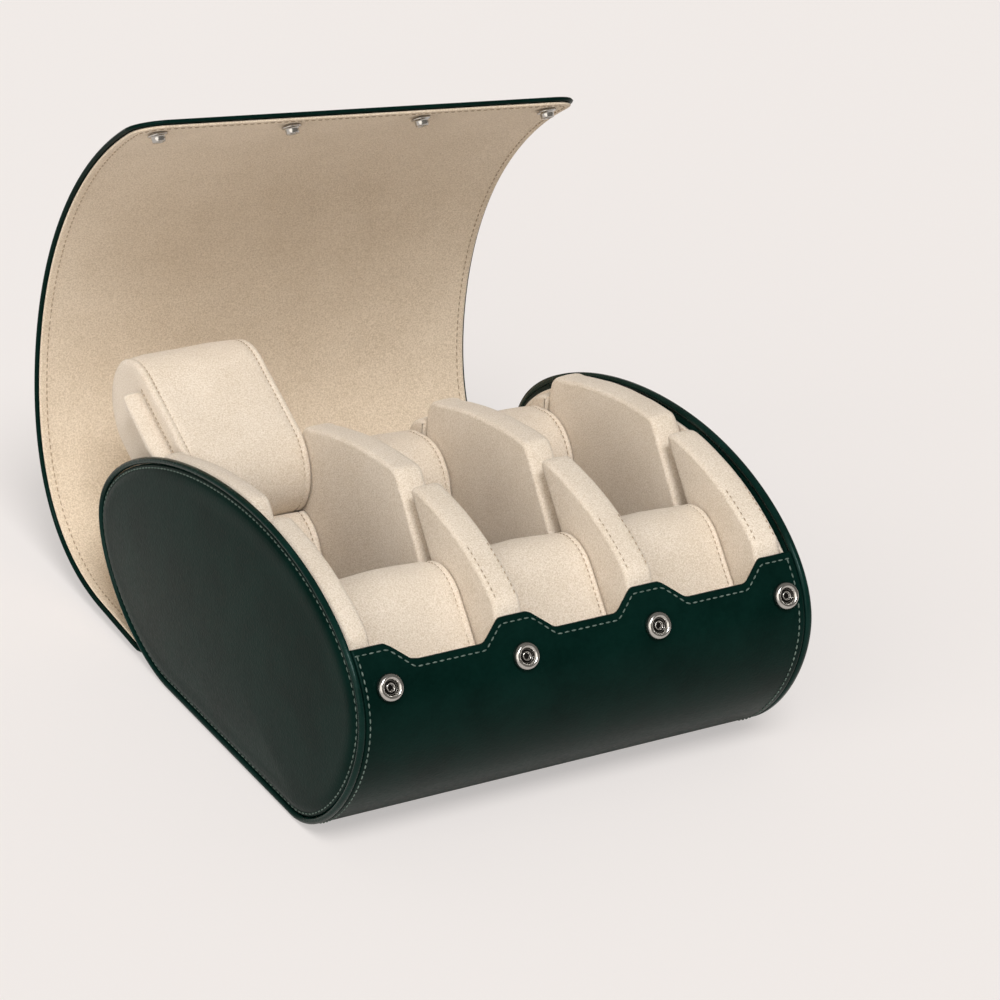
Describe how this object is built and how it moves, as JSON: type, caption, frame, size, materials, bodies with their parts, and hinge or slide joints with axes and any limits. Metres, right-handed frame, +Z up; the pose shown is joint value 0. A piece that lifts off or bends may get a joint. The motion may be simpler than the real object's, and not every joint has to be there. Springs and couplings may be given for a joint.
{
  "type": "watch roll",
  "caption": "Open two-row watch roll: leather wrap with a scalloped lip and a standing lid, padded oval ends, suede divider lobes, removable watch cushions and snap fasteners.",
  "frame": {"origin": "on the flat bottom of the wrap, midway between the two ends", "axes": "+X along the roll to the right end, -Y to the scalloped front lip, +Z up"},
  "size_m": [0.206, 0.291, 0.2307],
  "materials": {
    "leather": "smooth dark green leather with a soft sheen",
    "suede": "matt beige suede with a short nap",
    "nickel": "polished nickel-plated snap"
  },
  "bodies": {
    "root": {"back_pad_1": "suede", "back_pad_2": "suede", "back_pad_3": "suede", "back_pad_4": "suede", "end_lining_left": "suede", "end_lining_right": "suede", "end_panel_left": "leather", "end_panel_right": "leather", "end_welt_left": "leather", "end_welt_right": "leather", "front_cushion_1": "suede", "front_cushion_2": "suede", "front_cushion_3": "suede", "front_divider_1": "suede", "front_divider_2": "suede", "front_divider_3": "suede", "front_divider_4": "suede", "front_snap_1": "nickel", "front_snap_2": "nickel", "front_snap_3": "nickel", "front_snap_4": "nickel", "leather_wrap": "leather", "lid_stud_1": "nickel", "lid_stud_2": "nickel", "lid_stud_3": "nickel", "lid_stud_4": "nickel", "raised_cushion": "suede", "rear_cushion_1": "suede", "rear_cushion_2": "suede", "rear_cushion_3": "suede", "rear_divider_1": "suede", "rear_divider_2": "suede", "rear_divider_3": "suede", "rear_divider_4": "suede", "suede_lining": "suede"}
  },
  "joints": []
}
